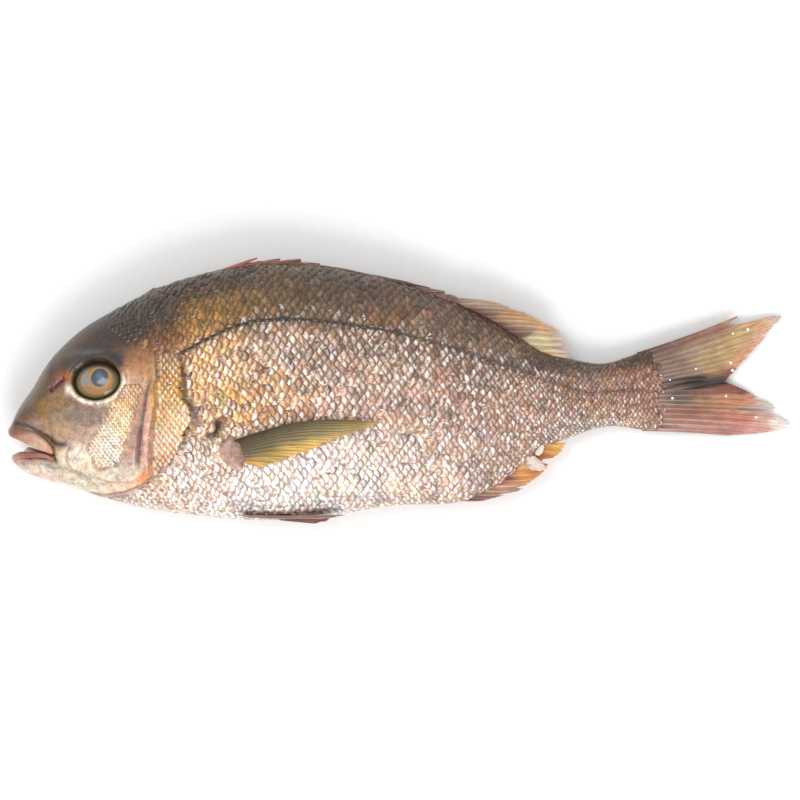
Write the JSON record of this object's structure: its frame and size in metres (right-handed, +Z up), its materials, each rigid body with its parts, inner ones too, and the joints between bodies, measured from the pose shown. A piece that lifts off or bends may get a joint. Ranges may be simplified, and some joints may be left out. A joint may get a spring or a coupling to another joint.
{
  "type": "sea bream",
  "caption": "Whole raw sea bream lying on its side, with a deep flattened body, slightly open mouth, folded back fin and forked tail.",
  "frame": {"origin": "middle of the fish's box, on the surface that it lies on", "axes": "+X from the head to the tail, +Y from the belly to the back, +Z up out of the left side; the fish lies on its right side"},
  "size_m": [0.2994, 0.103, 0.0392],
  "materials": {
    "skin": "wet scaly skin, olive brown on the back, gold on the flank and pinkish white on the belly",
    "eye": "wet and clear, slate blue pupil in a tan iris",
    "back_fin": "wet rays and membrane",
    "belly_fin": "wet rays and membrane",
    "tail_fin": "wet rays and membrane",
    "side_fin": "wet rays and membrane"
  },
  "bodies": {
    "root": {"body": "skin", "left_eye": "eye", "right_eye": "eye", "dorsal_fin": "back_fin", "anal_fin": "belly_fin", "tail_fin": "tail_fin", "left_pectoral_fin": "side_fin", "right_pectoral_fin": "side_fin", "left_pelvic_fin": "belly_fin", "right_pelvic_fin": "belly_fin"}
  },
  "joints": []
}
